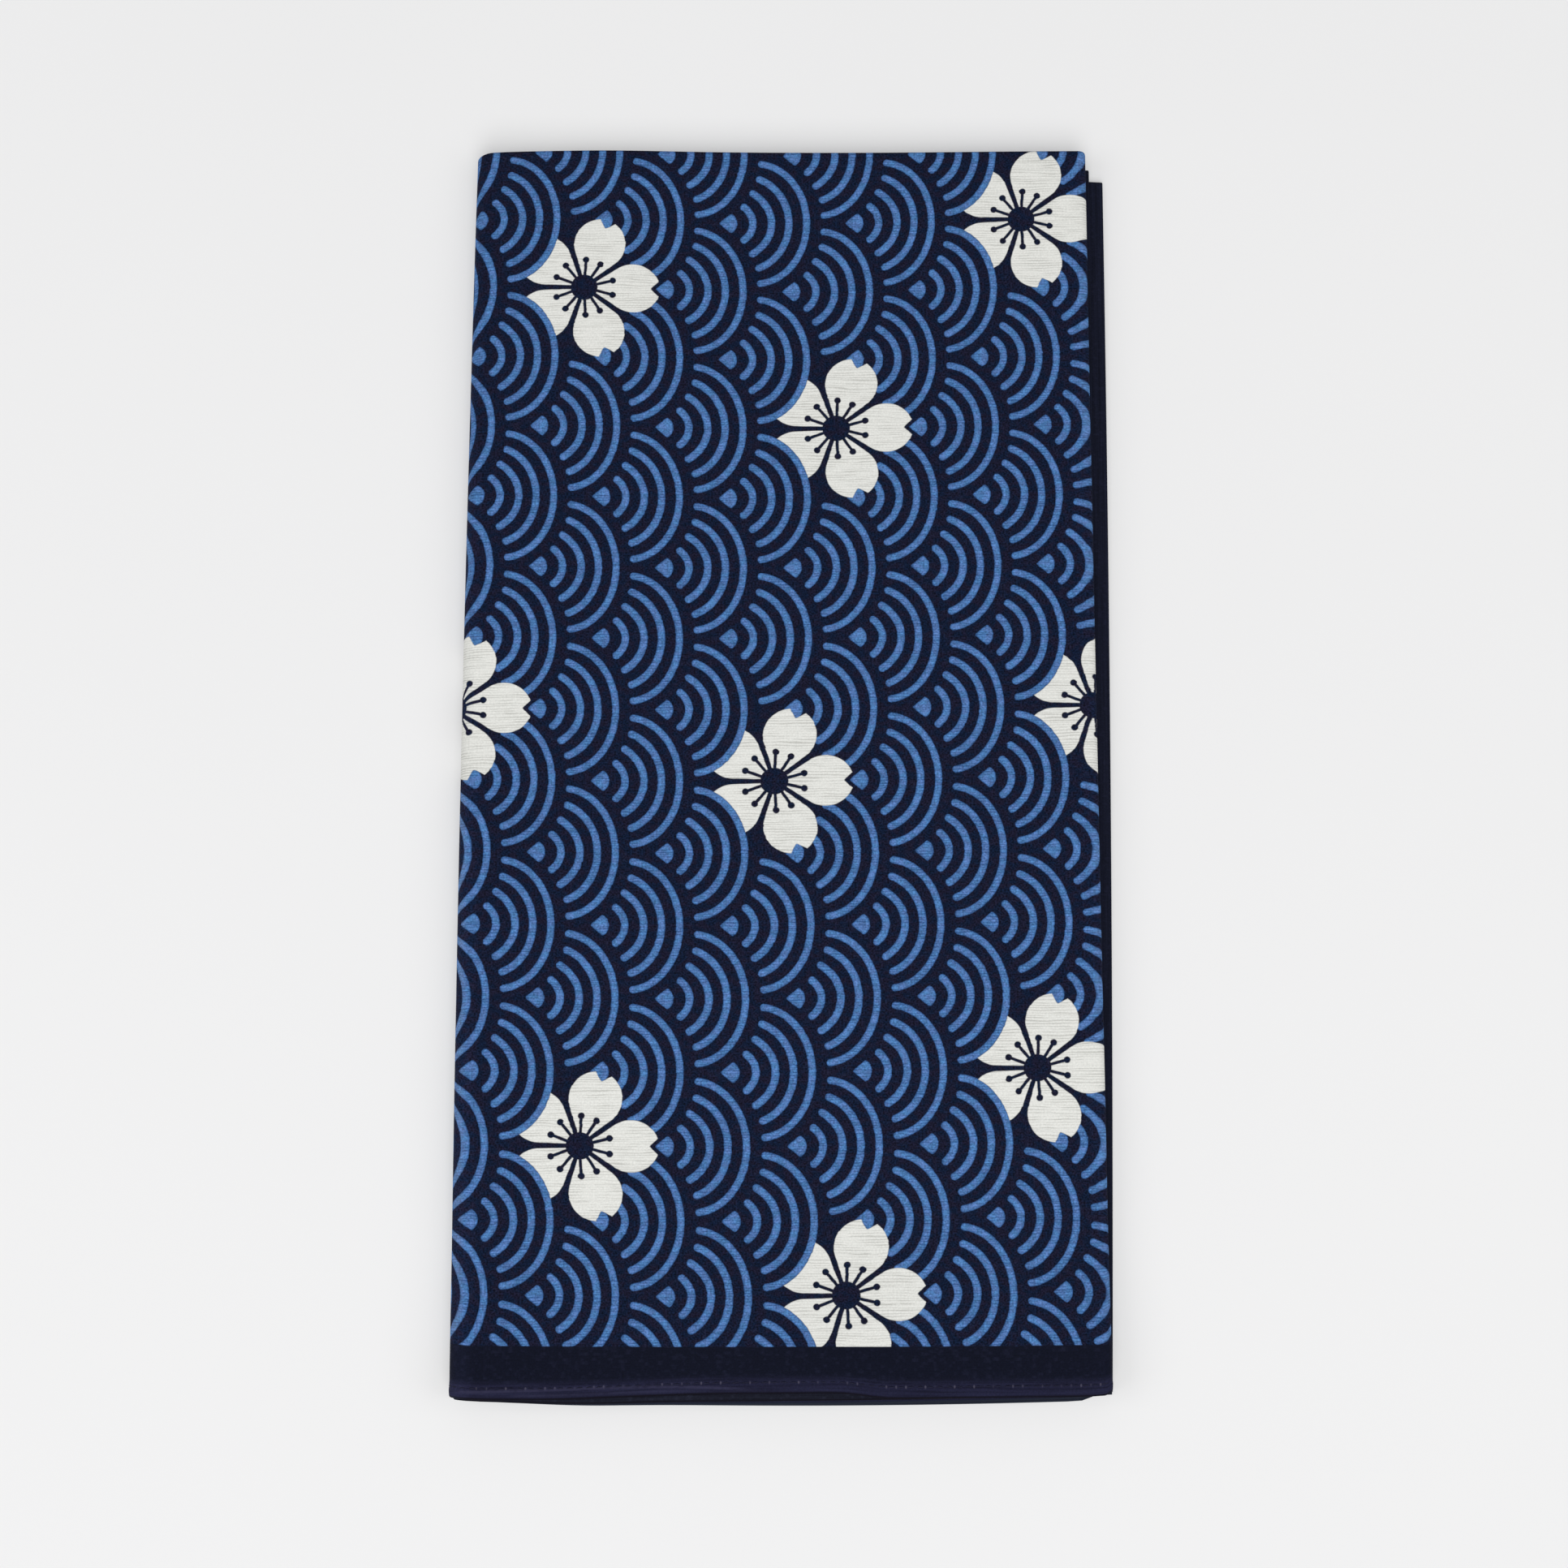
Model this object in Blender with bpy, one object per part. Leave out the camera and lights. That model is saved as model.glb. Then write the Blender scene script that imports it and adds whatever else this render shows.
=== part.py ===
# A square wrapping cloth, halved at its top crease and then folded in four like a book.
# Its two hems lie together at the -Y end, and eight layers of the one sheet lie on each other.
# Metres, +Z up, origin under the middle of the folded cloth, on the surface that it lies on.

import math
from collections import namedtuple

import bmesh
import bpy

MM = 0.001

# The flat cloth, and how its layers lie
CLOTH_SIDE = 700 * MM
SHEET = 1.0 * MM
GAP = 0.3 * MM
PANEL_WIDTH = CLOTH_SIDE / 4
FOLDED_LENGTH = CLOTH_SIDE / 2
PITCH = SHEET + GAP
LEVEL_RISE = 2 * PITCH
HALF_PAIR = (PITCH + SHEET) / 2

# How the pile swells as it rises: along the springy left fold, over the hems, and in slack ripples
FOLD_SWELL = 0.08
FOLD_SWELL_REACH = 20 * MM
HEM_SWELL = 0.13
HEM_SWELL_TOP = 6 * MM
HEM_SWELL_START = 44 * MM
RIPPLE = 0.02
RIPPLE_ACROSS = 118 * MM
RIPPLE_ALONG = 83 * MM
RIPPLE_SLANT = 0.4

# How far the corners fall short at the left fold, and at the right in the lower sheets and the top one
CREASE_CORNER = 0.7 * MM
HEM_CORNER = 0.9 * MM
LEFT_CORNER_REACH = 4 * MM
RIGHT_CORNER = 1.45 * MM
RIGHT_CORNER_FULL = 4.7 * MM
RIGHT_CORNER_END = 9 * MM
TOP_CORNER = 0.7 * MM
TOP_CORNER_REACH = 3 * MM

# How far from the middle the pulls on the crease and on the hems start, and have their full strength
CREASE_PULL_START = 30 * MM
CREASE_PULL_FULL = 125 * MM
HEM_PULL_START = 130 * MM
HEM_PULL_FULL = 172 * MM
CREASE_CORNER_START = 150 * MM
CREASE_CORNER_FULL = 173 * MM

# The topmost sheet's hem is drawn in between these places across the pile
TOP_DIP = 1.25 * MM
TOP_DIP_STARTS = -55 * MM
TOP_DIP_FULL_FROM = -17 * MM
TOP_DIP_FULL_TO = 13 * MM
TOP_DIP_ENDS = 29 * MM

# Faces along each panel, round each fold, along each layer and round the top crease, and how much
# closer together they lie near the ends of a panel or a layer
PANEL_STEPS = 13
STEPS_PER_LEVEL = 3
LENGTH_STEPS = 11
CREASE_STEPS = 4
CROWDING = 0.1

LEFT = -1
RIGHT = 1

# The edges and folds that the cloth passes, from its lower free edge to its upper one. Each place is
# how far it lies outside the ideal folded rectangle, in mm, negative where it falls short: its two
# ends across the pile and its bulge between them, then its crease and the hems of its two layers.
Edge = namedtuple("Edge", "name side crease_end hem_end bulge crease front_hem back_hem")
EDGES = [
    Edge("lower free edge", RIGHT, 6.2, 0.9, 0.9, -7.5, 1.75, 1.0),
    Edge("outer left fold", LEFT, -2.1, 2.35, 0.9, -0.9, -0.3, 0.9),
    Edge("right crease", RIGHT, 0.8, 0.2, -0.2, -0.6, 0.95, 0.3),
    Edge("inner left fold", LEFT, -5.9, -1.3, 0.9, -1.9, -0.6, 0.4),
    Edge("upper free edge", RIGHT, 2.1, -2.5, 0.4, -4.7, 0.4, -0.4),
]

# The doubled panels between those edges, in the same order: how many panels lie below each one, and
# how far its crease and its two hems bow outwards halfway along, in mm.
Panel = namedtuple("Panel", "name panels_below crease_bow front_bow back_bow")
PANELS = [
    Panel("bottom panel", 0, 0.8, 1.85, 1.3),
    Panel("top panel", 3, 0.2, 0.3, 0.7),
    Panel("third panel", 2, 0.2, 0.5, 0.3),
    Panel("second panel", 1, 0.6, 0.8, 0.5),
]

# Where the whole pile is pulled outwards along itself: how far, at which place across it and over
# what reach, in mm.
Pull = namedtuple("Pull", "far at reach")
CREASE_PULLS = [Pull(0.85, -52, 27), Pull(-0.55, 22, 42)]
HEM_PULLS = [Pull(0.5, -54, 17)]

# One place on the cloth's way through the folds: its middle line across the pile, as a function of
# the place along the pile, its height and normal there, how many panels lie below, and where its
# crease and hems lie.
Station = namedtuple("Station", "across height normal_x normal_z panels_below crease front_hem back_hem")


def clear_scene():
    for old in list(bpy.data.objects):
        bpy.data.objects.remove(old, do_unlink=True)


def mix(a, b, share):
    return a + (b - a) * share


def arch(share):
    """A bow that is 0 at both ends and 1 halfway."""
    return 4 * share * (1 - share)


def ramp(value, start, end):
    """0 up to the start and 1 from the end on, with a soft rise between them."""
    share = min(max((value - start) / (end - start), 0), 1)
    return share * share * (3 - 2 * share)


def crowded_shares(steps):
    """Shares from 0 to 1 that lie closer together near both ends."""
    even = [step / steps for step in range(steps + 1)]
    return [share - CROWDING * math.sin(math.tau * share) for share in even]


def edge_x(edge, along):
    """Where an edge or fold lies across the pile, along being 0 at the hems and 1 at the crease."""
    outward = mix(edge.hem_end, edge.crease_end, along) + edge.bulge * arch(along)
    return edge.side * (PANEL_WIDTH / 2 + outward * MM)


def panel_height(panel):
    return HALF_PAIR + panel.panels_below * LEVEL_RISE


def fold_radius(start, end):
    return abs(panel_height(end) - panel_height(start)) / 2


def middle_x(number, along):
    """Where the cloth's middle line meets a free edge, or starts to turn round a fold."""
    edge = EDGES[number]
    x = edge_x(edge, along)
    if edge in (EDGES[0], EDGES[-1]):
        return x
    return x - edge.side * (fold_radius(PANELS[number - 1], PANELS[number]) + HALF_PAIR)


def panel_station(number, share):
    """A place that lies this share of the way along a panel."""
    panel = PANELS[number]
    start = EDGES[number]
    end = EDGES[number + 1]
    bow = arch(share)
    return Station(
        across=lambda along: mix(middle_x(number, along), middle_x(number + 1, along), share),
        height=panel_height(panel),
        normal_x=0.0,
        normal_z=end.side,
        panels_below=panel.panels_below,
        crease=mix(start.crease, end.crease, share) + panel.crease_bow * bow,
        front_hem=mix(start.front_hem, end.front_hem, share) + panel.front_bow * bow,
        back_hem=mix(start.back_hem, end.back_hem, share) + panel.back_bow * bow,
    )


def fold_station(number, turned):
    """A place round a fold, turned being 0 where it leaves one panel and 1 where it meets the next."""
    edge = EDGES[number]
    before = PANELS[number - 1]
    after = PANELS[number]
    start = panel_height(before)
    end = panel_height(after)
    radius = fold_radius(before, after)
    rising = math.copysign(1.0, end - start)
    angle = math.pi * turned
    outward = edge.side * radius * math.sin(angle)
    return Station(
        across=lambda along: middle_x(number, along) + outward,
        height=(start + end) / 2 - rising * radius * math.cos(angle),
        normal_x=-rising * math.sin(angle),
        normal_z=edge.side * math.cos(angle),
        panels_below=mix(before.panels_below, after.panels_below, turned),
        crease=edge.crease,
        front_hem=edge.front_hem,
        back_hem=edge.back_hem,
    )


def stations():
    """Every place along the cloth at which its doubled section is drawn."""
    found = []
    for number, panel in enumerate(PANELS):
        if number > 0:
            levels = abs(panel.panels_below - PANELS[number - 1].panels_below)
            turns = STEPS_PER_LEVEL * (levels + 1)
            found += [fold_station(number, step / turns) for step in range(1, turns)]
        found += [panel_station(number, share) for share in crowded_shares(PANEL_STEPS)]
    return found


def doubled_section(station, offset):
    """One face of the doubled sheet, as points off the middle line and along the pile."""
    crease_end = FOLDED_LENGTH / 2 + station.crease * MM - HALF_PAIR
    front_end = -FOLDED_LENGTH / 2 - station.front_hem * MM
    back_end = -FOLDED_LENGTH / 2 - station.back_hem * MM
    off = PITCH / 2 + offset
    shares = crowded_shares(LENGTH_STEPS)[:-1]
    angles = [math.pi * step / CREASE_STEPS for step in range(CREASE_STEPS + 1)]
    front = [(off, mix(front_end, crease_end, share)) for share in shares]
    crease = [(off * math.cos(angle), crease_end + off * math.sin(angle)) for angle in angles]
    back = [(-off, mix(back_end, crease_end, share)) for share in reversed(shares)]
    return front + crease + back


def swell(x, y):
    """How much higher than flat the pile stands at a place, as a share of the height."""
    from_fold = x + PANEL_WIDTH / 2
    from_hems = y + FOLDED_LENGTH / 2
    fold = FOLD_SWELL * math.exp(-((from_fold / FOLD_SWELL_REACH) ** 2))
    hems = HEM_SWELL * (1 - ramp(from_hems, HEM_SWELL_TOP, HEM_SWELL_START))
    across = math.sin(math.tau * x / RIPPLE_ACROSS + 1)
    along = math.sin(math.tau * (y + RIPPLE_SLANT * x) / RIPPLE_ALONG)
    return fold + hems + RIPPLE * (2 + across + along) / 2


def pull_at(x, pulls):
    """How far a row of pulls draws the pile outwards at this place across it."""
    return sum(pull.far * math.exp(-(((x / MM - pull.at) / pull.reach) ** 2)) for pull in pulls) * MM


def crease_pull(x, y):
    """How far the crease end is drawn outwards at a place, less at its left corner."""
    from_left = max(x - edge_x(EDGES[1], 1), 0)
    corner = CREASE_CORNER * math.exp(-from_left / LEFT_CORNER_REACH)
    pulled = pull_at(x, CREASE_PULLS) * ramp(y, CREASE_PULL_START, CREASE_PULL_FULL)
    return pulled - corner * ramp(y, CREASE_CORNER_START, CREASE_CORNER_FULL)


def hem_pull(x, sheets_below):
    """How far the hems are drawn outwards at a place. The topmost sheet's has a course of its own."""
    from_left = max(x - edge_x(EDGES[1], 0), 0)
    from_right = edge_x(EDGES[0], 0) - x
    from_top_right = max(edge_x(EDGES[2], 0) - x, 0)
    left = HEM_CORNER * math.exp(-from_left / LEFT_CORNER_REACH)
    right = RIGHT_CORNER * (1 - ramp(from_right, RIGHT_CORNER_FULL, RIGHT_CORNER_END))
    top_right = TOP_CORNER * math.exp(-from_top_right / TOP_CORNER_REACH)
    dip = ramp(x, TOP_DIP_STARTS, TOP_DIP_FULL_FROM) * (1 - ramp(x, TOP_DIP_FULL_TO, TOP_DIP_ENDS))
    lower = pull_at(x, HEM_PULLS) - right
    upper = -top_right - TOP_DIP * dip
    topmost = 2 * len(PANELS) - 1
    return mix(lower, upper, ramp(sheets_below, topmost - 1, topmost)) - left


def place(station, off, y):
    """A point of the section, set where its station lies in the pile."""
    along = y / FOLDED_LENGTH + 0.5
    x = station.across(along) + off * station.normal_x
    z = station.height + off * station.normal_z
    sheets_below = 2 * station.panels_below + (1 + math.copysign(1, off) * station.normal_z) / 2
    outwards = hem_pull(x, sheets_below) * ramp(-y, HEM_PULL_START, HEM_PULL_FULL)
    return (x, y + crease_pull(x, y) - outwards, z * (1 + swell(x, y)))


def strip(shape, first, second):
    """Quads between two rows of vertices."""
    for a, b, c, d in zip(first, first[1:], second[1:], second):
        shape.faces.new((a, b, c, d))


def set_over_origin(shape):
    """Moves the cloth so that the middle of its box lies over the origin."""
    for axis in (0, 1):
        places = [point.co[axis] for point in shape.verts]
        middle = (min(places) + max(places)) / 2
        for point in shape.verts:
            point.co[axis] -= middle


def cloth_mesh():
    """The sheet's two faces, joined along its hems and its free edges."""
    shape = bmesh.new()
    outer_rows = []
    inner_rows = []
    for station in stations():
        for rows, offset in ((outer_rows, SHEET / 2), (inner_rows, -SHEET / 2)):
            section = doubled_section(station, offset)
            rows.append([shape.verts.new(place(station, off, y)) for off, y in section])
    for row, after in zip(outer_rows, outer_rows[1:]):
        strip(shape, row, after)
    for row, after in zip(inner_rows, inner_rows[1:]):
        strip(shape, after, row)
    for end in (0, -1):
        outer_hem = [row[end] for row in outer_rows]
        inner_hem = [row[end] for row in inner_rows]
        strip(shape, outer_hem, inner_hem)
        strip(shape, outer_rows[end], inner_rows[end])
    set_over_origin(shape)
    bmesh.ops.recalc_face_normals(shape, faces=shape.faces[:])
    mesh = bpy.data.meshes.new("furoshiki_cloth")
    shape.to_mesh(mesh)
    shape.free()
    return mesh


def cloth_material():
    material = bpy.data.materials.new("printed cotton")
    material.use_nodes = True
    finish = material.node_tree.nodes["Principled BSDF"]
    finish.inputs["Base Color"].default_value = (0.011, 0.012, 0.028, 1.0)
    finish.inputs["Roughness"].default_value = 0.85
    finish.inputs["Metallic"].default_value = 0.0
    return material


def make_cloth():
    mesh = cloth_mesh()
    mesh.materials.append(cloth_material())
    mesh.shade_smooth()
    mesh.set_sharp_from_angle(angle=math.radians(40))
    cloth = bpy.data.objects.new("furoshiki_cloth", mesh)
    bpy.context.scene.collection.objects.link(cloth)
    return cloth


clear_scene()
make_cloth()
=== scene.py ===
import math
from functools import partialmethod, reduce

import bpy
import numpy as np
from mathutils import Matrix, Vector


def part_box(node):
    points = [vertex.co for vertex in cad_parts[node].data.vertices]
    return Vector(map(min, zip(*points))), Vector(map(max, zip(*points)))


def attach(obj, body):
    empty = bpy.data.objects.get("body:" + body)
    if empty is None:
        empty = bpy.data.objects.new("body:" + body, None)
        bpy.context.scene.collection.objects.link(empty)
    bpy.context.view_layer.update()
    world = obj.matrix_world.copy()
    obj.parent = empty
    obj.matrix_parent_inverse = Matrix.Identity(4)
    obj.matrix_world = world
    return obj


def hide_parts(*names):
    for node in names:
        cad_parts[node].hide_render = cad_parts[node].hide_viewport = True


mm = 0.001

print("loading the frame")
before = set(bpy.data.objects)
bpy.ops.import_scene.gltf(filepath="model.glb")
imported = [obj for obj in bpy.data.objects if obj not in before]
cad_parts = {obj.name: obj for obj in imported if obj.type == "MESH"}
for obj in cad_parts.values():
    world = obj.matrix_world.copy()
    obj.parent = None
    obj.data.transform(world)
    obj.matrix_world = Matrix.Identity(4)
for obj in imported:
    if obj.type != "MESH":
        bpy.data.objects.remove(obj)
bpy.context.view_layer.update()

# The flat cloth and its layers, in mm
foldedCloth = {
    "side": 700.0,
    "sheet": 0.62,
    "spacing": 1.3,            # from one layer's middle to the next, before the pile is pressed
    "hemWidth": 4.1,
    "hemExtra": 0.22,          # how much thicker the turned hem is, towards the wrong side
    "hemPuff": 0.16,           # how far the turned hem swells between its stitches and its edge
    "stitchFromHem": 3.0,
    "stitchDip": 0.10, "dipReach": 0.45,
    "turnSoft": 0.4,           # over how much the turned hem loses its thickness, either way
    "farFromHem": 99.0,
}

# The edges and folds that the cloth passes, from its lower free edge to its upper one: how far each
# lies outside the ideal folded rectangle, in mm, at the crease end, at the hem end and bulging
# halfway, then where its crease and the hems of its front and back sheets lie.
edgePlan = [
    {"side": 1, "creaseEnd": 6.2, "hemEnd": 0.9, "bulge": 0.9, "crease": -7.5, "front": 1.75, "back": 1.0},
    {"side": -1, "creaseEnd": -2.1, "hemEnd": 2.35, "bulge": 0.9, "crease": -0.9, "front": 0.5, "back": 0.9},
    {"side": 1, "creaseEnd": 0.8, "hemEnd": 0.2, "bulge": -0.2, "crease": -0.6, "front": 0.75, "back": 0.3},
    {"side": -1, "creaseEnd": -5.9, "hemEnd": -1.3, "bulge": 0.9, "crease": -1.9, "front": -0.6, "back": 0.4},
    {"side": 1, "creaseEnd": 2.1, "hemEnd": -2.5, "bulge": 0.4, "crease": -4.7, "front": 0.4, "back": -0.4},
]

# The doubled panels between them, in the cloth's own order: the bottom one, the top one, the third and
# the second. How many panels lie below each, and how far its crease and hems bow in mm.
panelPlan = [
    {"below": 0, "creaseBow": 0.8, "frontBow": 1.5, "backBow": 1.3},
    {"below": 3, "creaseBow": 0.2, "frontBow": 0.2, "backBow": 0.7},
    {"below": 2, "creaseBow": 0.2, "frontBow": 0.5, "backBow": 0.3},
    {"below": 1, "creaseBow": 0.6, "frontBow": 0.8, "backBow": 0.5},
]

# Where the whole pile is pulled a little along itself: how far in mm, at which x, over what reach.
# The first rows fade out below the crease, the others close to the hems.
creasePulls = [(0.85, -52.0, 27.0), (-0.55, 22.0, 42.0)]
hemPulls = [(0.5, -54.0, 17.0)]

# How far the corners fall short, in mm
cornerPlan = {
    "creaseLeft": 0.7, "hemLeft": 0.9, "leftReach": 4.0,
    "hemRight": 1.45, "rightReach": (4.7, 9.0), "topRight": 0.7, "topReach": 3.0,
}

# Where the hem of the topmost sheet is drawn in: how far in mm, and the stretches of x over which it
# draws in and comes out again
topHemDip = {"depth": 1.5, "goesIn": (-70.0, -13.0), "comesOut": (13.0, 29.0)}

# Where those pulls set in and are full, in mm along the pile from its middle
pullReach = {"crease": (30, 125), "creaseCorner": (150, 173), "hems": (130, 172), "topmostHem": (161, 174)}

# How the pile rises and sinks, as a share of its pressed height
pileRelief = {
    "body": 0.86,
    "foldRise": 0.10, "foldReach": 20.0,
    "hemRise": 0.26, "hemStart": 44.0, "hemTop": 6.0, "hemRightLoss": 0.18, "hemRight": (-20, 70),
    "crown": 0.05, "crownFrom": (40.0, 96.0),
    "ripple": 0.016, "rippleAcross": 118.0, "rippleAlong": 83.0, "rippleSlant": 0.4,
}

# How high the layers' own slack stands in mm, over what reach it grows towards the hems, and how long
# its waves are across and along, in mm per radian
slackPlan = {
    "panel": 0.16, "sheet": 0.05, "least": 0.35, "hemReach": 26.0,
    "long": (19.0, 27.0), "short": (9.3, 31.0), "own": (11.0, 19.0), "shortShare": 0.5,
}

# How finely the sheet is divided
sheetGrid = {"panelSteps": 44, "stepsPerLevel": 5, "lengthSteps": 56, "creaseSteps": 8, "rimSteps": 3}

# Angles round the cloth's rounded edges, from near the tip inwards
rimAngles = [math.radians(80) * (1 - step / sheetGrid["rimSteps"]) for step in range(sheetGrid["rimSteps"])]


def mix(a, b, share):
    return a + (b - a) * share


def arch(share):
    return 4 * share * (1 - share)


def ramp(value, start, end):
    share = np.clip((value - start) / (end - start), 0, 1)
    return share * share * (3 - 2 * share)


panelWidth = foldedCloth["side"] / 4
topMiddle = 1.5 * panelWidth
foldedLength = foldedCloth["side"] / 2
levelRise = 2 * foldedCloth["spacing"]
halfPair = (foldedCloth["spacing"] + foldedCloth["sheet"]) / 2


def edgeX(edge, along):
    outward = mix(edge["hemEnd"], edge["creaseEnd"], along) + edge["bulge"] * arch(along)
    return edge["side"] * (panelWidth / 2 + outward)


def panelHeight(panel):
    return halfPair + panel["below"] * levelRise


def foldRadius(number):
    return abs(panelHeight(panelPlan[number]) - panelHeight(panelPlan[number - 1])) / 2


def isFreeEdge(number):
    return number in (0, len(edgePlan) - 1)


# Where the cloth's middle line meets a free edge, or starts to turn round a fold
def middleX(number, along):
    edge = edgePlan[number]
    x = edgeX(edge, along)
    if isFreeEdge(number):
        return x - edge["side"] * foldedCloth["sheet"] / 2
    return x - edge["side"] * (foldRadius(number) + halfPair)


# How far along the flat cloth, from its lower free edge, each panel starts and ends, in mm. The print
# lies true on the top panel, and the arcs of the folds are counted off from there.
def printedAt(number, atEnd, along):
    if isFreeEdge(number + 1) and atEnd:
        return foldedCloth["side"] + 0 * along
    if isFreeEdge(number) and not atEnd:
        return 0 * along
    if number == 1:
        return topMiddle + middleX(number + 1 if atEnd else number, along)
    if number == 0:
        return topMiddle + middleX(1, along) - math.pi * foldRadius(1)
    start = topMiddle + middleX(2, along) + math.pi * foldRadius(2)
    if number == 2 and not atEnd:
        return start
    end = start + middleX(2, along) - middleX(3, along)
    return end if number == 2 else end + math.pi * foldRadius(3)


courses = ("crease", "front", "back")


# A place on the way through the folds: functions of the place along the pile, and plain numbers
def panelStation(number, share, outward=0.0, thick=1.0):
    panel, start, end = panelPlan[number], edgePlan[number], edgePlan[number + 1]
    bow = arch(share)
    return {
        "x": lambda along: mix(middleX(number, along), middleX(number + 1, along), share) + outward,
        "z": panelHeight(panel),
        "normal": (0.0, end["side"]),
        **{name: mix(start[name], end[name], share) + panel[name + "Bow"] * bow for name in courses},
        "printed": lambda along: mix(printedAt(number, False, along), printedAt(number, True, along), share),
        "level": panel["below"],
        "thick": thick,
    }


def foldStation(number, turned):
    edge = edgePlan[number]
    startZ, endZ = panelHeight(panelPlan[number - 1]), panelHeight(panelPlan[number])
    radius, rising, angle = foldRadius(number), math.copysign(1.0, endZ - startZ), math.pi * turned
    outward = edge["side"] * radius * math.sin(angle)
    return {
        "x": lambda along: middleX(number, along) + outward,
        "z": (startZ + endZ) / 2 - rising * radius * math.cos(angle),
        "normal": (-rising * math.sin(angle), edge["side"] * math.cos(angle)),
        **{name: edge[name] for name in courses},
        "printed": lambda along: mix(
            printedAt(number - 1, True, along), printedAt(number, False, along), turned),
        "level": mix(panelPlan[number - 1]["below"], panelPlan[number]["below"], turned),
        "thick": 1.0,
    }


# Both free edges lie at the right
def freeRim(number, share):
    half = foldedCloth["sheet"] / 2
    return [panelStation(number, share, half * math.sin(angle), math.cos(angle)) for angle in rimAngles]


def clothStations():
    found = freeRim(0, 0.0)
    for number, panel in enumerate(panelPlan):
        if number > 0:
            turns = sheetGrid["stepsPerLevel"] * (abs(panel["below"] - panelPlan[number - 1]["below"]) + 1)
            found += [foldStation(number, step / turns) for step in range(1, turns)]
        steps = sheetGrid["panelSteps"]
        found += [panelStation(number, step / steps) for step in range(steps + 1)]
    return found + freeRim(len(panelPlan) - 1, 1.0)[::-1]


# Rows close together over a hem, then evenly spaced to the crease, as mm from the hem's edge
def rowsFromHem(first, length):
    stitch, hem = foldedCloth["stitchFromHem"], foldedCloth["hemWidth"]
    near = [first, mix(first, stitch, 0.3), mix(first, stitch, 0.6), stitch - 0.5, stitch - 0.2, stitch,
            stitch + 0.2, stitch + 0.5, hem - 0.2, hem + 0.2, hem + 0.6, hem + 1.8, hem + 4]
    steps = sheetGrid["lengthSteps"]
    return near + [mix(near[-1], length, (step + 1) / steps) for step in range(steps)]


# One station's section: for each row its place along the pile, its height off the pair's middle, the
# outward direction, the half thicknesses and its place on the flat cloth
def doubledSection(station):
    size, hem = foldedCloth, foldedCloth["hemWidth"]
    creaseEnd = foldedLength / 2 + station["crease"] - halfPair
    frontEnd = -foldedLength / 2 - station["front"]
    backEnd = -foldedLength / 2 - station["back"]
    off, half = size["spacing"] / 2, size["sheet"] / 2
    rows = []

    def sheetRow(end, fromHem, side, flat, cap=0.0):
        turned = 1 - ramp(fromHem, hem - size["turnSoft"], hem + size["turnSoft"])
        dip = size["stitchDip"] * math.exp(-((fromHem - size["stitchFromHem"]) / size["dipReach"]) ** 2)
        puff = size["hemPuff"] * arch(min(fromHem / hem, 1))
        outer, inner = half - dip + puff, half + size["hemExtra"] * turned - dip * turned
        if cap:
            middle, reach = (outer - inner) / 2, (outer + inner) / 2
            outer, inner = middle + reach * math.cos(cap), reach * math.cos(cap) - middle
        rows.append((end + fromHem, side * off, 0.0, side, outer, inner, fromHem, flat))

    # The rounded edge of the hem, as angles and their distance from its tip
    reach = half + size["hemExtra"] / 2
    caps = [(reach * (1 - math.sin(cap)), cap) for cap in rimAngles]
    toFlat = foldedLength / 2
    for fromHem, cap in caps:
        sheetRow(frontEnd, fromHem, 1, frontEnd + fromHem + toFlat, cap)
    for fromHem in rowsFromHem(reach, creaseEnd - frontEnd):
        sheetRow(frontEnd, fromHem, 1, frontEnd + fromHem + toFlat)
    flatStart, arc = creaseEnd + toFlat, math.pi * off
    for step in range(1, sheetGrid["creaseSteps"]):
        share = step / sheetGrid["creaseSteps"]
        angle = math.pi * share
        rows.append((creaseEnd + off * math.sin(angle), off * math.cos(angle), math.sin(angle),
                     math.cos(angle), half, half, size["farFromHem"], flatStart + arc * share))
    length = creaseEnd - backEnd
    for fromHem in reversed(rowsFromHem(reach, length)):
        sheetRow(backEnd, fromHem, -1, mix(size["side"], flatStart + arc, fromHem / length))
    for fromHem, cap in reversed(caps):
        sheetRow(backEnd, fromHem, -1, size["side"] - fromHem, cap)
    return np.array(rows).T


# How high the pile stands at a place, as a share of its pressed height
def pileShare(x, y):
    relief = pileRelief
    fromFold, fromHem = x + panelWidth / 2, y + foldedLength / 2
    fold = relief["foldRise"] * np.exp(-((fromFold / relief["foldReach"]) ** 2))
    hemRise = relief["hemRise"] * (1 - relief["hemRightLoss"] * ramp(x, *relief["hemRight"]))
    hems = hemRise * (1 - ramp(fromHem, relief["hemTop"], relief["hemStart"]))
    crown = relief["crown"] * ramp(fromHem, *relief["crownFrom"])
    across = np.sin(math.tau * x / relief["rippleAcross"] + 1)
    along = np.sin(math.tau * (y + relief["rippleSlant"] * x) / relief["rippleAlong"])
    return relief["body"] + fold + hems + crown + relief["ripple"] * (across + along)


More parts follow.
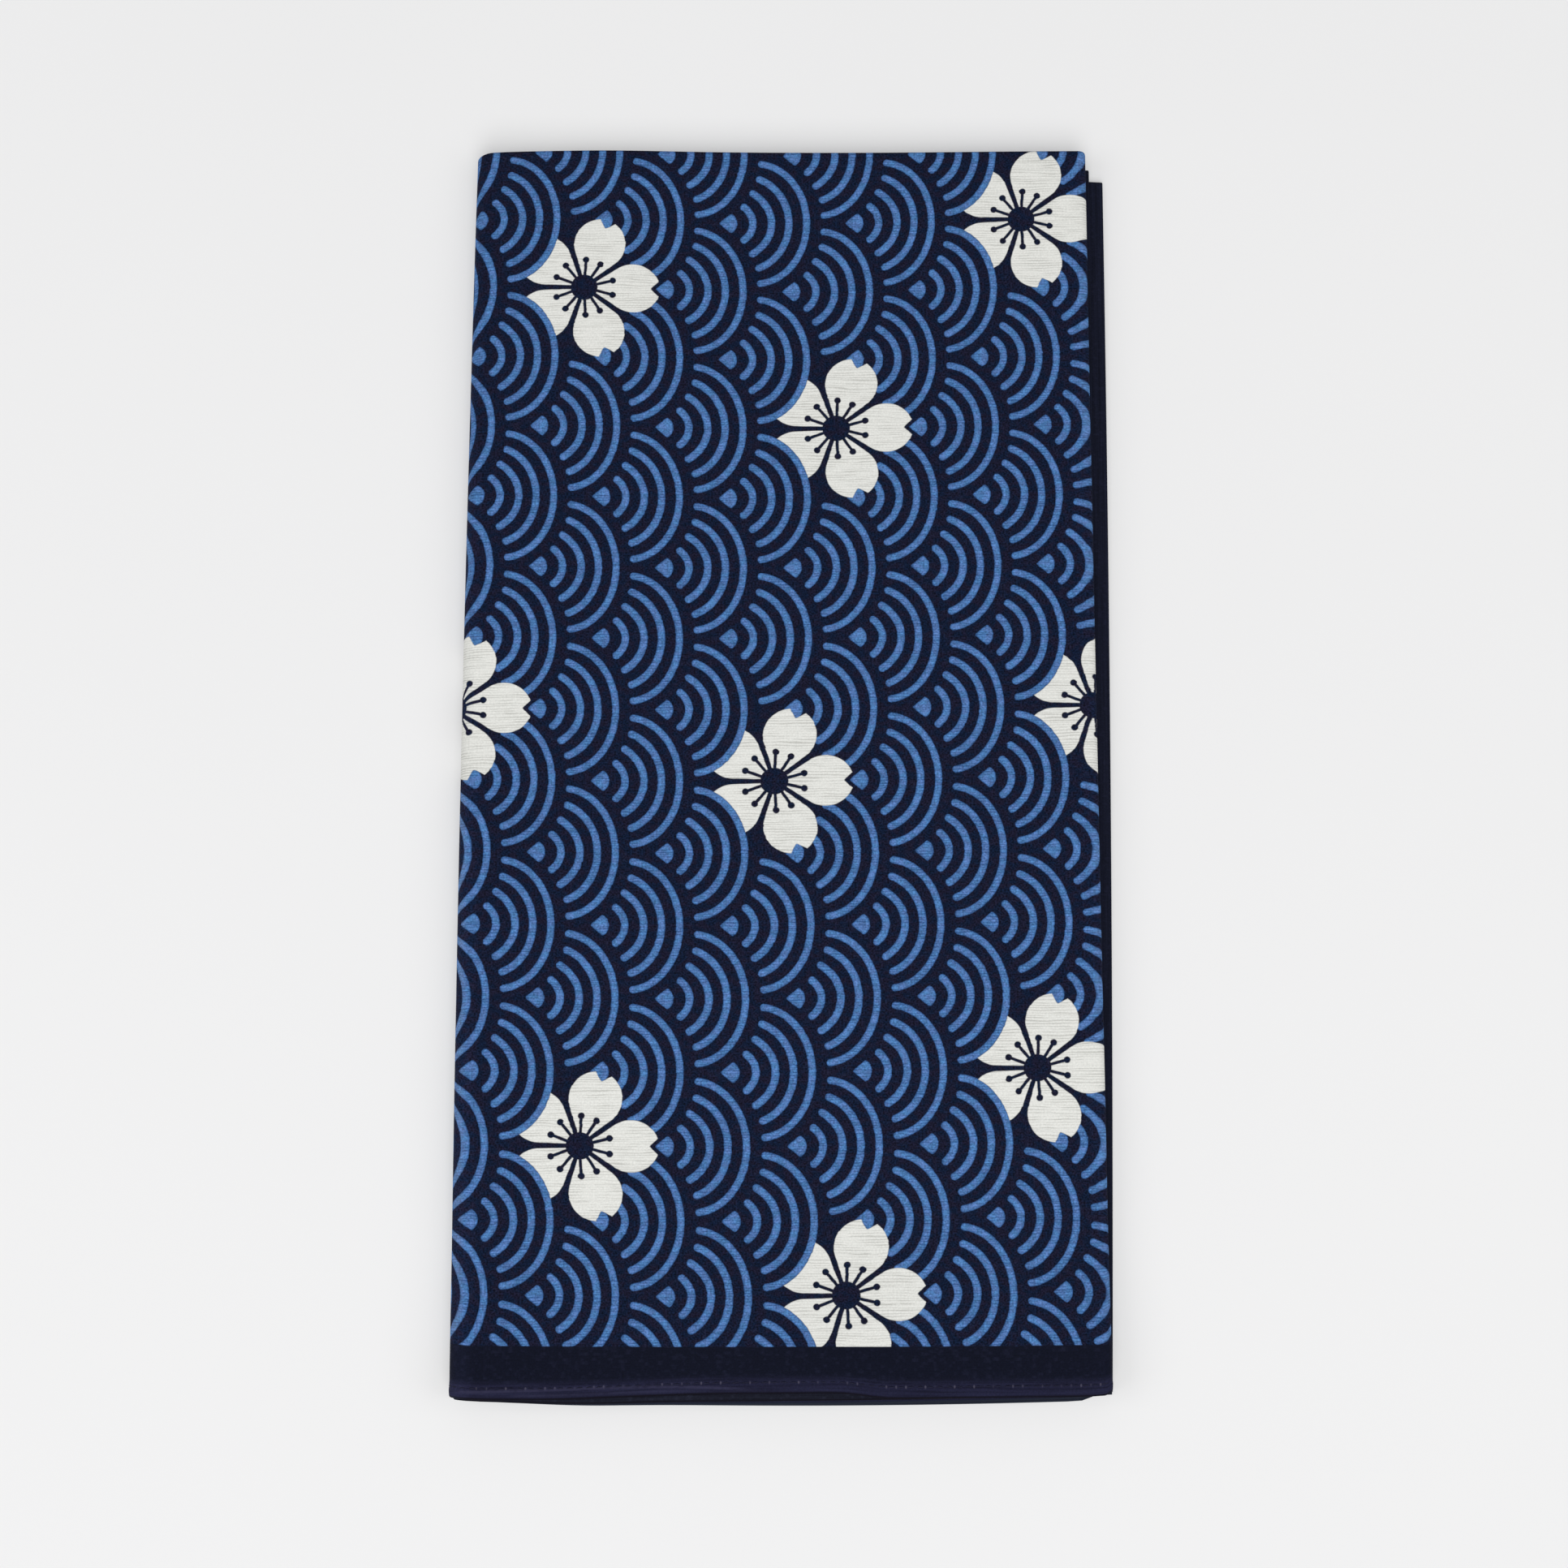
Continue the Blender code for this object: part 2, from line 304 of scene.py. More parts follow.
# Slack of its own in each doubled panel and in each sheet, stronger towards the hems. The lowest
# sheet lies flat, and the topmost one is the smoothest.
def layerSlack(level, sheetNumber, x, y):
    plan, fromHem = slackPlan, np.maximum(y + foldedLength / 2, 0)
    loose = mix(plan["least"], 1, np.exp(-fromHem / plan["hemReach"]))
    longX, longY, shortX, shortY, ownX, ownY = (*plan["long"], *plan["short"], *plan["own"])
    # Irregular turns from layer to layer, so that no two have the same waves
    panelWave = np.sin(x / longX + 2.1 * level) * np.cos(y / longY + 1.3 * level)
    panelWave = panelWave + plan["shortShare"] * np.sin(x / shortX - 1.7 * level + y / shortY)
    sheetWave = np.sin(x / ownX + 1.9 * sheetNumber + y / ownY)
    panelShare = ramp(level, 0, 1) * (1 - 0.75 * ramp(level, 2, 3))
    sheetShare = ramp(sheetNumber, 0, 1.5) * (1 - ramp(sheetNumber, 5.5, 7))
    return loose * (plan["panel"] * panelShare * panelWave + plan["sheet"] * sheetShare * sheetWave)


def pullAt(x, pulls):
    return sum(pull * np.exp(-((x - at) / reach) ** 2) for pull, at, reach in pulls)


# Pulls the pile along itself, and rounds its corners. The topmost sheet's hem has a course of its own.
def pulledY(x, y, sheetNumber):
    topmost = ramp(sheetNumber, 6, 7)
    reach, corners = pullReach, cornerPlan
    nearHems = mix(ramp(-y, *reach["hems"]), ramp(-y, *reach["topmostHem"]), topmost)
    creaseShift, hemShift = pullAt(x, creasePulls), pullAt(x, hemPulls)
    fromLeft = x - edgeX(edgePlan[1], y / foldedLength + 0.5)
    fromRight = edgeX(edgePlan[0], 0) - x
    left = np.exp(-np.maximum(fromLeft, 0) / corners["leftReach"])
    creaseShift = creaseShift - ramp(y, *reach["creaseCorner"]) * corners["creaseLeft"] * left
    hemShift = hemShift - corners["hemRight"] * (1 - ramp(fromRight, *corners["rightReach"]))
    fromTopRight = edgeX(edgePlan[2], 0) - x
    topShift = -corners["topRight"] * np.exp(-np.maximum(fromTopRight, 0) / corners["topReach"])
    drawnIn = ramp(x, *topHemDip["goesIn"]) * (1 - ramp(x, *topHemDip["comesOut"]))
    topShift = topShift - topHemDip["depth"] * drawnIn
    hemShift = mix(hemShift, topShift, topmost) - corners["hemLeft"] * left
    return y + ramp(y, *reach["crease"]) * creaseShift - nearHems * hemShift


def sheetPoints():
    outer, inner, flat, edges = [], [], [], []
    for station in clothStations():
        y, off, outY, outOff, halfOut, halfIn, fromHem, flatY = doubledSection(station)
        for points, shift in ((outer, halfOut * station["thick"]), (inner, -halfIn * station["thick"])):
            placedY = y + outY * shift
            placedOff = off + outOff * shift
            along = placedY / foldedLength + 0.5
            x = station["x"](along) + placedOff * station["normal"][0]
            z = station["z"] + placedOff * station["normal"][1]
            sheetNumber = 2 * station["level"] + (1 + outOff * station["normal"][1]) / 2
            z = z * pileShare(x, placedY) + layerSlack(station["level"], sheetNumber, x, placedY)
            points.append(np.stack([x, pulledY(x, placedY, sheetNumber), z], axis=1))
        along = y / foldedLength + 0.5
        printed = station["printed"](along)
        flat.append(np.stack([printed, flatY], axis=1))
        fromSelvedge = np.minimum(printed, foldedCloth["side"] - printed)
        edges.append(np.stack([fromHem, fromSelvedge], axis=1))
    return [np.array(grid) for grid in (outer, inner, flat, edges)]


# The printed side has most of the baked picture: bottom panel, outer left fold and top panel, and
# the hidden rest across it, the front sheet and the back sheet along it
bakePlan = {
    "acrossAt": [0.0, 168.0, 356.0, 700.0], "acrossTo": [0.005, 0.275, 0.845, 0.915],
    "alongAt": [-4.0, 348.0, 700.0], "alongTo": [0.005, 0.875, 0.995],
    "wrongSide": [0.925, 0.995],
}


def bakePlace(flat, wrong):
    across = np.interp(flat[..., 0], bakePlan["acrossAt"], bakePlan["acrossTo"])
    if wrong:
        across = np.interp(flat[..., 0], [0, foldedCloth["side"]], bakePlan["wrongSide"])
    along = np.interp(flat[..., 1], bakePlan["alongAt"], bakePlan["alongTo"])
    return np.stack([across, along], axis=-1)


def gridQuads(rows, columns, first, flip):
    corner = first + np.arange(rows - 1)[:, None] * columns + np.arange(columns - 1)
    quads = np.stack([corner, corner + 1, corner + columns + 1, corner + columns], axis=-1).reshape(-1, 4)
    return quads[:, ::-1] if flip else quads


def seamQuads(first, second, flip):
    quads = np.stack([first[:-1], first[1:], second[1:], second[:-1]], axis=-1)
    return quads[:, ::-1] if flip else quads


def addUvMap(mesh, name, perPoint, cornerPoints):
    layer = mesh.uv_layers.new(name=name)
    layer.data.foreach_set("uv", perPoint[cornerPoints].astype(np.float32).ravel())


def rimLoop(rows, columns, first):
    numbers = first + np.arange(rows * columns).reshape(rows, columns)
    return numbers[0, :], numbers[-1, :], numbers[:, 0], numbers[:, -1]


def makeCloth():
    outer, inner, flat, edges = sheetPoints()
    rows, columns = outer.shape[:2]
    count = rows * columns
    places = np.concatenate([outer.reshape(-1, 3), inner.reshape(-1, 3)]) * mm
    quads = [gridQuads(rows, columns, 0, True), gridQuads(rows, columns, count, False)]
    outerRim, innerRim = rimLoop(rows, columns, 0), rimLoop(rows, columns, count)
    for number, flip in enumerate((False, True, True, False)):
        quads.append(seamQuads(outerRim[number], innerRim[number], flip))
    quads = np.concatenate(quads)
    mesh = bpy.data.meshes.new("furoshikiCloth")
    mesh.from_pydata(places.tolist(), [], quads.tolist())
    mesh.update()
    corners = np.empty(len(mesh.loops), int)
    mesh.loops.foreach_get("vertex_index", corners)
    both = lambda grid: np.concatenate([grid.reshape(-1, 2), grid.reshape(-1, 2)])
    bake = np.concatenate([bakePlace(flat, False).reshape(-1, 2), bakePlace(flat, True).reshape(-1, 2)])
    addUvMap(mesh, "clothCoords", both(flat) / foldedCloth["side"], corners)
    addUvMap(mesh, "edgeCoords", both(edges) / 100, corners)
    addUvMap(mesh, "OFBake", bake, corners)
    wrongSide = np.zeros(len(quads), np.int32)
    outerQuads = (rows - 1) * (columns - 1)
    wrongSide[outerQuads:2 * outerQuads] = 1
    mesh.polygons.foreach_set("material_index", wrongSide)
    mesh.shade_smooth()
    return addObject("furoshikiCloth", mesh)


def addObject(name, data):
    thing = bpy.data.objects.new(name, data)
    bpy.context.scene.collection.objects.link(thing)
    return thing


def pointsOf(piece):
    places = np.empty(len(piece.data.vertices) * 3)
    piece.data.vertices.foreach_get("co", places)
    return places.reshape(-1, 3)


# The solid that the cloth stands for has the middle of its box over the origin, and the same outline
def shiftToFrame(piece):
    lowest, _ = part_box("furoshiki_cloth")
    places = pointsOf(piece)
    return Vector((lowest.x - places[:, 0].min(), lowest.y - places[:, 1].min(), 0))


# The pieces rest on the table by their lowest place
def restOnTable(pieces):
    lift = -min(pointsOf(piece)[:, 2].min() for piece in pieces)
    for piece in pieces:
        piece.data.transform(Matrix.Translation((0, 0, lift)))


print("folding the cloth")
cloth = makeCloth()
toFrame = shiftToFrame(cloth)
cloth.data.transform(Matrix.Translation(toFrame))

# The hems' stitches: a thread that shows along each hem, and sinks into the cloth between stitches
stitchPlan = {
    "every": 2.6, "length": 2.05, "start": 0.7, "thick": 0.31, "flat": 0.8, "sunk": 0.12,
    "blunt": 0.12, "wander": 0.10, "sides": 6, "rings": 5,
}


def stitchTube(start, end, up, number):
    plan, sides, rings = stitchPlan, stitchPlan["sides"], stitchPlan["rings"]
    ahead = (end - start).normalized()
    across = ahead.cross(up).normalized()
    up = across.cross(ahead)
    # An irregular angle for each stitch, so that neighbours lean differently
    sway = plan["wander"] * math.sin(12.9898 * number) * across
    verts = []
    for ring in range(rings):
        share = ring / (rings - 1)
        radius = plan["thick"] / 2 * math.sqrt(max(arch(share), plan["blunt"]))
        middle = start.lerp(end, share) + sway * (2 * share - 1)
        middle = middle + up * (radius - plan["sunk"] * 2 * abs(share - 0.5))
        for side in range(sides):
            angle = math.tau * side / sides
            verts.append(middle + radius * (across * math.cos(angle) + up * math.sin(angle) * plan["flat"]))
    faces = [tuple(reversed(range(sides))), tuple(range((rings - 1) * sides, rings * sides))]
    for ring in range(rings - 1):
        for side in range(sides):
            here, after = ring * sides + side, ring * sides + (side + 1) % sides
            faces.append((here, after, after + sides, here + sides))
    return verts, faces


# Stitches along one row of the cloth's grid, laid on its printed side
def sewRow(outerRow, innerRow, verts, faces):
    steps = np.linalg.norm(np.diff(outerRow, axis=0), axis=1)
    gone = np.concatenate([[0], np.cumsum(steps)])
    along = lambda place, row: Vector([np.interp(place, gone, row[:, axis]) for axis in range(3)])
    every, length = stitchPlan["every"], stitchPlan["length"]
    for number in range(int(gone[-1] / every - 1)):
        at = every * (number + stitchPlan["start"])
        up = along(at, outerRow - innerRow).normalized()
        newVerts, newFaces = stitchTube(along(at, outerRow), along(at + length, outerRow), up, number)
        faces += [tuple(corner + len(verts) for corner in face) for face in newFaces]
        verts += newVerts


def makeStitches():
    outer, inner, _, edges = sheetPoints()
    onStitch = np.flatnonzero(np.abs(edges[0, :, 0] - foldedCloth["stitchFromHem"]) < 0.01)
    verts, faces = [], []
    for row in onStitch:
        sewRow(outer[:, row], inner[:, row], verts, faces)
    mesh = bpy.data.meshes.new("hemStitches")
    mesh.from_pydata([point * mm + toFrame for point in verts], [], faces)
    mesh.shade_smooth()
    return addObject("hemStitches", mesh)


print("sewing the hems")
stitches = makeStitches()
restOnTable([cloth, stitches])


# A node's output, so that it can stand in a formula
class Wire:
    def __init__(self, socket):
        self.socket = socket
        self.tree = socket.id_data

    def into(self, kind, output, values, **settings):
        return Wire(newNode(self.tree, kind, values, **settings).outputs[output])

    def math(self, operation, *others):
        return self.into("ShaderNodeMath", 0, enumerate((self, *others)), operation=operation)

    def vector(self, operation, *others, output="Vector"):
        values = enumerate((self, *others))
        return self.into("ShaderNodeVectorMath", output, values, operation=operation)

    measure = partialmethod(vector, output="Value")
    __add__ = partialmethod(math, "ADD")
    __sub__ = partialmethod(math, "SUBTRACT")
    __rsub__ = partialmethod(math, "MULTIPLY_ADD", -1.0)
    __mul__ = partialmethod(math, "MULTIPLY")
    __truediv__ = partialmethod(math, "DIVIDE")
    __neg__ = partialmethod(math, "MULTIPLY", -1.0)
    __abs__ = partialmethod(math, "ABSOLUTE")
    __lt__ = partialmethod(math, "LESS_THAN")
    __gt__ = partialmethod(math, "GREATER_THAN")

    # A or B by this share. The node has a pair of inputs for each kind, after its share and another.
    def blend(self, a, b, kind="RGBA"):
        pair = ["FLOAT", "VECTOR", "RGBA"].index(kind)
        return self.into("ShaderNodeMix", pair, {0: self, 2 + 2 * pair: a, 3 + 2 * pair: b}, data_type=kind)

    # Low to high as the value goes from start to end
    def ramp(self, start, end, low=0.0, high=1.0):
        values = {"Value": self, "From Min": start, "From Max": end, "To Min": low, "To Max": high}
        return self.into("ShaderNodeMapRange", "Result", values, interpolation_type="SMOOTHSTEP")

    def split(self):
        node = newNode(self.tree, "ShaderNodeSeparateXYZ", {"Vector": self})
        return Wire(node.outputs["X"]), Wire(node.outputs["Y"])

    # Noise whose patches have a size: one number, or sizes across and along
    def noise(self, size, detail):
        place = self
        if isinstance(size, tuple):
            place, size = self.vector("DIVIDE", (*size, 1.0)), 1.0
        values = {"Vector": place, "Scale": 1 / size, "Detail": detail}
        return self.into("ShaderNodeTexNoise", "Fac", values, noise_dimensions="2D")

    def bump(self, strength):
        values = {"Strength": strength, "Distance": 0.05 * mm, "Height": self}
        return self.into("ShaderNodeBump", "Normal", values)


def plug(slot, value):
    if isinstance(value, Wire):
        value.tree.links.new(value.socket, slot)
    else:
        slot.default_value = value


# Values are given by an input's name or number
def newNode(tree, kind, values=(), **settings):
    node = tree.nodes.new(kind)
    for name, value in settings.items():
        setattr(node, name, value)
    for slot, value in dict(values).items():
        plug(node.inputs[slot], value)
    return node


def joinNodes(x, y):
    return x.into("ShaderNodeCombineXYZ", "Vector", {"X": x, "Y": y})


def least(*wires):
    return reduce(lambda a, b: a.math("MINIMUM", b), wires)


def most(*wires):
    return reduce(lambda a, b: a.math("MAXIMUM", b), wires)


# The kinds of a group's sockets, by the kind of output that feeds them
socketKinds = {"VALUE": "NodeSocketFloat", "VECTOR": "NodeSocketVector"}


# A node group with named inputs, which gets its named outputs at its end
def startGroup(name, inputs):
    tree = bpy.data.node_groups.new(name, "ShaderNodeTree")
    for socketName, kind in inputs.items():
        tree.interface.new_socket(socketName, in_out="INPUT", socket_type=socketKinds[kind])
    source = tree.nodes.new("NodeGroupInput")
    return tree, {socketName: Wire(source.outputs[socketName]) for socketName in inputs}


def endGroup(tree, **results):
    for name, value in results.items():
        kind = socketKinds[value.socket.type]
        tree.interface.new_socket(name, in_out="OUTPUT", socket_type=kind)
    sink = tree.nodes.new("NodeGroupOutput")
    for name, value in results.items():
        plug(sink.inputs[name], value)
    spreadNodes(tree)
    return tree


def useGroup(tree, group, **values):
    node = tree.nodes.new("ShaderNodeGroup")
    node.node_tree = group
    node.label = group.name
    for name, value in values.items():
        plug(node.inputs[name], value)
    return {socket.name: Wire(socket) for socket in node.outputs}


# Lays a tree's nodes out in columns, so that it can be read in the shader editor
def spreadNodes(tree):
    for number, node in enumerate(tree.nodes):
        node.location = (number // 8 * 220, -(number % 8) * 190)


# The print: waves that open towards +X on a brick grid, and blossoms that each replace one wave.
# Sizes are in mm, x across and y along the flat cloth from one wave's dot.
printPlan = {
    "dotAt": (230.94, 147.28),
    "waveAcross": 17.76, "waveAlong": 20.11,
    "repeatAcross": 10, "repeatAlong": 12,
    "softness": 0.16,
    "behindDot": 5.0, "replacedWithin": 3.0, "outOfSight": 9.0,
    "hemBorder": 12.95, "borderTilt": -0.47, "borderBow": 0.53,
    "selvedgeBorder": 7.0,
}

# How far the print wanders off the straight, in mm, over each folded panel
driftPlan = {
    "ends": 0.76, "across": 0.25, "skew": -0.25,
    "sag": 0.42, "alongSag": 0.14, "swing": 0.155, "slant": 0.134,
}

# Each arc is part of an oval: its middle, its half sizes, half its line's width, where it ends
waveArcs = [
    {"middle": -7.04, "wide": 13.57, "high": 8.45, "half": 1.04, "end": 35.4},
    {"middle": -1.79, "wide": 13.57, "high": 11.24, "half": 1.04, "end": 52.8},
    {"middle": 4.19, "wide": 12.46, "high": 13.91, "half": 1.02, "end": 70.9},
    {"middle": 7.09, "wide": 14.54, "high": 17.81, "half": 0.98, "end": 83.4},
]

# The pointed dot: a circle for its right side, and two straight sides to its tip
waveDot = {"middle": -1.16, "radius": 3.31, "slant": 39.0, "reach": 2.02, "rounding": 0.7, "tip": 0.3}

# Each blossom's place: waves across, waves along, and after how many repeats it comes again
blossomPlan = {
    "fromWave": 12.0,
    "places": [(-2, 4, 1), (5, 3, 2), (2, 6, 1), (6, -2, 1), (1, -1, 1), (-6, 2, 2)],
    "squash": 0.965,
    "petalMiddle": 14.0, "petalOffset": 0.5, "petalRadius": 7.8, "petalSlant": 34.4,
    "notchAt": 18.88, "notchSlope": 1.05, "notchRound": 0.25,
    "heart": 3.87,
    "stamenAngle": 15.0, "stamenLength": 8.45, "stamenHalf": 0.455, "stamenTip": 0.95,
}


def ovalVectors(point, middle, wide, high):
    scaled = point.vector("SUBTRACT", (middle, 0.0, 0.0)).vector("DIVIDE", (wide, high, 1.0))
    return scaled, scaled.vector("DIVIDE", (wide, high, 1.0))


# Distance to an oval's line, near that line
def ovalDistance(point, middle, wide, high):
    scaled, slope = ovalVectors(point, middle, wide, high)
    reach = scaled.measure("LENGTH")
    return reach * (reach - 1.0) / slope.measure("LENGTH"), scaled


def arcDistance(point, arc):
    end = math.radians(arc["end"])
    line, scaled = ovalDistance(point, arc["middle"], arc["wide"], arc["high"])
    tip = (arc["middle"] + arc["wide"] * math.cos(end), arc["high"] * math.sin(end), 0.0)
    beyond = scaled.measure("DOT_PRODUCT", (math.sin(end), -math.cos(end), 0.0)) < 0.0
    return beyond.blend(abs(line), point.measure("DISTANCE", tip), "FLOAT") - arc["half"]


def dotDistance(point):
    slant = math.radians(waveDot["slant"])
    circle = point.measure("DISTANCE", (waveDot["middle"], 0.0, 0.0)) - waveDot["radius"]
    side = point.measure("DOT_PRODUCT", (-math.sin(slant), math.cos(slant), 0.0)) - waveDot["reach"]
    return circle.math("SMOOTH_MAX", side, waveDot["rounding"])


# Distance to one wave's own dot and arcs, less than 0 inside them
def makeWaveShape():
    tree, given = startGroup("wave shape", {"Point": "VECTOR"})
    x, y = given["Point"].split()
    folded = joinNodes(x, abs(y))
    blunt = (y * y + waveDot["tip"] ** 2).math("SQRT")
    arcs = [arcDistance(folded, arc) for arc in waveArcs]
    return endGroup(tree, Distance=least(dotDistance(joinNodes(x, blunt)), *arcs))


# The way to the nearest blossom's heart
def makeNearestBlossom():
    tree, given = startGroup("nearest blossom", {"Point": "VECTOR"})
    nearest = None
    for across, along, repeats in blossomPlan["places"]:
        half = (printPlan["repeatAcross"] * repeats * printPlan["waveAcross"] / 2,
                printPlan["repeatAlong"] * printPlan["waveAlong"] / 2, 1.0)
        heartX = across * printPlan["waveAcross"] + blossomPlan["fromWave"]
        offset = given["Point"].vector("SUBTRACT", (heartX, -along * printPlan["waveAlong"], 0.0))
        offset = offset.vector("WRAP", half, tuple(-reach for reach in half))
        length = offset.measure("LENGTH")
        if nearest is None:
            nearest, shortest = offset, length
            continue
        nearest = (length < shortest).blend(nearest, offset, "VECTOR")
        shortest = least(shortest, length)
    return endGroup(tree, Offset=nearest)


# Five notched petals round a dark heart, with two stamens on each petal
def makeBlossomShape():
    plan = blossomPlan
    tree, given = startGroup("blossom shape", {"Offset": "VECTOR"})
    round5 = given["Offset"].vector("DIVIDE", (1.0, plan["squash"], 1.0))
    x, y = round5.split()
    radius = round5.measure("LENGTH")
    angle = y.math("ARCTAN2", x).math("WRAP", math.pi / 5, -math.pi / 5)
    along, across = radius * angle.math("COSINE"), radius * abs(angle.math("SINE"))
    slant = math.radians(plan["petalSlant"])
    side = joinNodes(along - plan["petalMiddle"], across + plan["petalOffset"])
    ahead = side.measure("DOT_PRODUCT", (math.cos(slant), math.sin(slant), 0.0)) > 0.0
    flank = side.measure("DOT_PRODUCT", (-math.sin(slant), math.cos(slant), 0.0))
    outline = ahead.blend(flank, side.measure("LENGTH"), "FLOAT") - plan["petalRadius"]
    blunt = (across * across + plan["notchRound"] ** 2).math("SQRT")
    notch = (along - blunt * plan["notchSlope"] - plan["notchAt"]) / math.hypot(1, plan["notchSlope"])
    # The waves before a blossom lie over its petals, up to the outer edge of their last arc
    last, half = waveArcs[-1], waveArcs[-1]["half"]
    offX, offY = given["Offset"].split()
    overX = offX + (plan["fromWave"] + printPlan["waveAcross"])
    overlap = joinNodes(overX, abs(offY) - printPlan["waveAlong"])
    covered, _ = ovalDistance(overlap, last["middle"], last["wide"] + half, last["high"] + half)
    stamen = math.radians(plan["stamenAngle"])
    reach = along * math.cos(stamen) + across * math.sin(stamen)
    aside = across * math.cos(stamen) - along * math.sin(stamen)
    thread = most(abs(aside) - plan["stamenHalf"], reach - plan["stamenLength"])
    tip = joinNodes(reach - plan["stamenLength"], aside).measure("LENGTH") - plan["stamenTip"]
    heart = least(radius - plan["heart"], thread, tip)
    return endGroup(tree, Petals=most(outline, notch, -covered), Heart=heart)


# The whole print as two shares: how much of a place is wave, and how much is petal
def makeWavePrint(waveShape, nearestBlossom, blossomShape):
    tree, given = startGroup(
        "wave and blossom print", {"Point": "VECTOR", "Border": "VALUE", "Softness": "VALUE"})
    acrossStep, alongStep = printPlan["waveAcross"], printPlan["waveAlong"]
    behind = printPlan["behindDot"]
    offset = useGroup(tree, nearestBlossom, Point=given["Point"])["Offset"]
    blossom = useGroup(tree, blossomShape, Offset=offset)
    reaches = []
    for shift in ((0.0, 0.0, 0.0), (acrossStep, alongStep, 0.0)):
        cell = given["Point"].vector("SUBTRACT", shift).vector(
            "WRAP", (2 * acrossStep - behind, alongStep, 1.0), (-behind, -alongStep, -1.0))
        # The wave whose place a blossom has taken isn't drawn
        fromHeart = cell.vector("SUBTRACT", offset).measure("DISTANCE", (blossomPlan["fromWave"], 0.0, 0.0))
        replaced = (fromHeart < printPlan["replacedWithin"]) * printPlan["outOfSight"]
        reaches.append(useGroup(tree, waveShape, Point=cell)["Distance"] + replaced)
    waves = least(*reaches)
    soft = given["Softness"]
    within = given["Border"].ramp(-soft, soft)
    petal = most(blossom["Petals"], -blossom["Heart"]).ramp(-soft, soft, 1.0, 0.0) * within
    petalAll = blossom["Petals"].ramp(-soft, soft, 1.0, 0.0)
    heartAll = blossom["Heart"].ramp(-soft, soft, 1.0, 0.0)
    wave = waves.ramp(-soft, soft, 1.0, 0.0) * within * (1.0 - most(petalAll, heartAll))
    return endGroup(tree, **{"Wave": wave, "Petal": petal, "Wave Depth": -waves})


# Slubbed plain weave, sizes in mm. Each weft yarn has its own thick and thin stretches, is given painted
# shade in the gap beside it where it is thin, and shifts the print's edges a little.
weavePlan = {
    "weftPitch": 0.76, "warpPitch": 0.60, "weftWander": 1.2, "crowding": 0.9, "crowd": (60.0, 1.7),
    "cloud": (17.0, 6.0), "mottle": (2.6, 1.9), "fleck": (0.50, 0.44),
    "slubLong": 9.0, "gritLong": 2.0, "joltLong": 2.4, "step": 0.12,
    "thin": (0.38, 0.64, 0.15, 1.0), "besideCrest": (0.15, 1.0, 1.0, 0.0),
    "crestHeight": 0.3, "warpHeight": 0.10, "slubHeight": 0.6,
}


# Noise along each yarn, which changes from yarn to yarn by the number of its row times the seed
def yarnNoise(x, row, length, seed, detail):
    return joinNodes(x / length, row * seed).noise(1.0, detail)


def makeSlubWeave():
    tree, given = startGroup("slubbed weave", {"Point": "VECTOR"})
    plan, point = weavePlan, given["Point"]
    x, y = point.split()
    cloud = point.noise(plan["cloud"], 2.0)
    crowd = point.noise(plan["crowd"], 1.0)
    weft = (y + cloud * plan["weftWander"] + crowd * plan["crowding"]) / plan["weftPitch"]
    row = weft.math("FLOOR")
    crest = ((weft - row) * math.pi).math("SINE")
    slub = yarnNoise(x, row, plan["slubLong"], 7.3, 2.0)
    grit = yarnNoise(x, row, plan["gritLong"], 5.1, 1.0)
    warp = ((x * (2 / plan["warpPitch"]) + row + grit) * math.pi).math("SINE")
    mottle = point.noise(plan["mottle"], 1.0)
    fleck = point.noise(plan["fleck"], 0.0)
    gap = slub.ramp(*plan["thin"]) * crest.ramp(*plan["besideCrest"])
    height = crest * (slub + plan["crestHeight"]) + warp * plan["warpHeight"] + slub * plan["slubHeight"]
    jolt = yarnNoise(x, row, plan["joltLong"], 3.7, 0.0)
    step = joinNodes((jolt - 0.5) * plan["step"] * 2.0, (grit - 0.5) * plan["step"])
    return endGroup(
        tree, Gap=gap, Grit=grit, Fleck=fleck, Mottle=mottle, Cloud=cloud, Height=height, Step=step)


# From -1 at the top panel's left fold to 1 at its right crease
def acrossTop(flatX):
    return (flatX - topMiddle) / (panelWidth / 2)


# The print isn't quite straight on the cloth: how far it has wandered, from the flat cloth's place
def makePrintDrift():
    tree, given = startGroup("print drift", {"Point": "VECTOR"})
    plan = driftPlan
    flatX, flatY = given["Point"].split()
    across = acrossTop(flatX)
    along = 1.0 - abs(flatY - foldedLength) / (foldedLength / 2)
    fourth = along.math("POWER", 4.0)
    driftX = fourth * plan["ends"] + (across * (1.5 * math.pi)).math("SINE") * plan["across"]
    driftX = driftX + across * along * plan["skew"]
    turn = across * math.pi
    driftY = turn.math("COSINE") * -plan["sag"] + turn.math("SINE") * plan["swing"]
    driftY = driftY + (along * math.pi).math("COSINE") * -plan["alongSag"] + across * along * plan["slant"]
    return endGroup(tree, Drift=joinNodes(driftX, driftY))
